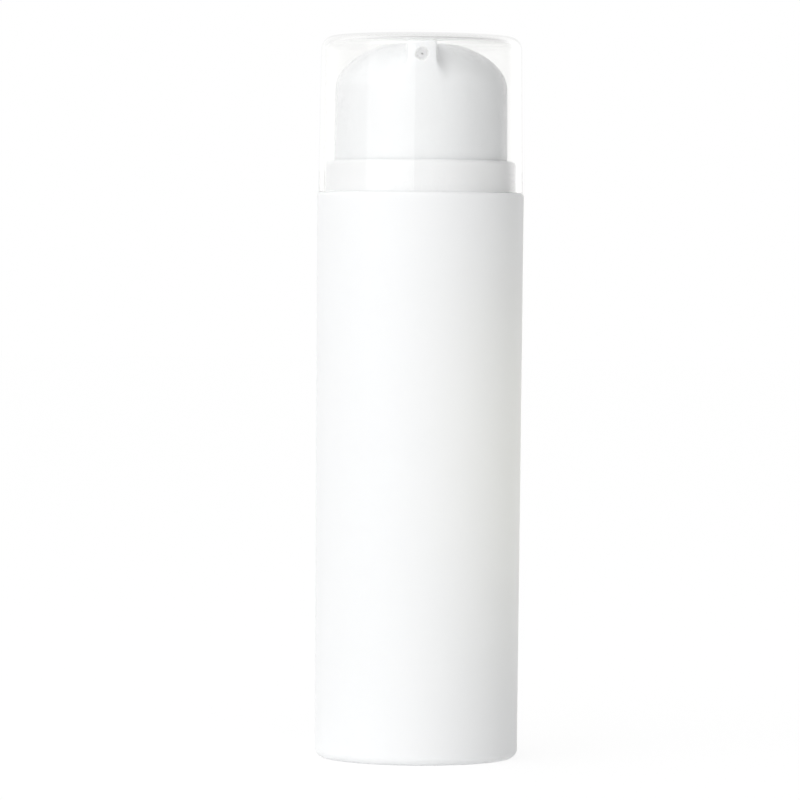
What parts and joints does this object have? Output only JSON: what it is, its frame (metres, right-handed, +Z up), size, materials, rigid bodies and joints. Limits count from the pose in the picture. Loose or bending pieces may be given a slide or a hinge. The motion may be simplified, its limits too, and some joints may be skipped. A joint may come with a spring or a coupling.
{
  "type": "airless pump bottle",
  "caption": "Slim round white airless pump bottle with a domed press head, a small front spout, a trim collar and a clear lift-off overcap.",
  "frame": {"origin": "middle of the base, on the surface it stands on", "axes": "+Z up along the bottle's axis, the spout looks towards -Y, +X to the right as seen from the spout's side"},
  "size_m": [0.049, 0.049, 0.1718],
  "materials": {
    "bottle_pp": "white polypropylene, fine satin gloss",
    "collar_pp": "white polypropylene, fine satin gloss",
    "head_pp": "white polypropylene, smooth gloss",
    "clear_cap": "clear, polished",
    "inner_pp": "natural white polypropylene, as moulded",
    "soft_pe": "soft polyethylene, as moulded",
    "seal": "soft, matt",
    "steel": "stainless, bright"
  },
  "bodies": {
    "bottle_body": {"bottle": "bottle_pp", "collar": "collar_pp", "pump_carrier": "inner_pp", "neck_gasket": "seal", "pump_housing": "inner_pp", "housing_gasket": "seal", "stem_guide": "inner_pp"},
    "push_rod": {"stem": "inner_pp", "stem_tip": "inner_pp", "spring": "steel"},
    "press_head": {"actuator": "head_pp", "actuator_core": "inner_pp"},
    "outlet_sleeve": {"pump_piston": "soft_pe"},
    "inlet_valve": {"inlet_ball": "steel"},
    "cap": {"overcap": "clear_cap"},
    "follower": {"follower_piston": "soft_pe"}
  },
  "joints": [
    {"name": "cap_lift", "type": "slide", "parent": "bottle_body", "child": "cap", "axis": [0, 0, 1], "range_m": [0, 0.045]},
    {"name": "press", "type": "slide", "parent": "bottle_body", "child": "push_rod", "axis": [0, 0, -1], "range_m": [0, 0.0055], "stiffness_N_per_m": 1500, "springref_m": -0.006, "deforming": ["spring"]},
    {"name": "spout_turn", "type": "hinge", "parent": "push_rod", "child": "press_head", "pos_m": [0, 0, 0.155], "axis": [0, 0, 1], "continuous": true},
    {"name": "outlet_valve", "type": "slide", "parent": "push_rod", "child": "outlet_sleeve", "axis": [0, 0, 1], "range_m": [0, 0.001]},
    {"name": "inlet_lift", "type": "slide", "parent": "bottle_body", "child": "inlet_valve", "axis": [0, 0, 1], "range_m": [0, 0.0012]},
    {"name": "follower_rise", "type": "slide", "parent": "bottle_body", "child": "follower", "axis": [0, 0, 1], "range_m": [0, 0.1009]}
  ]
}
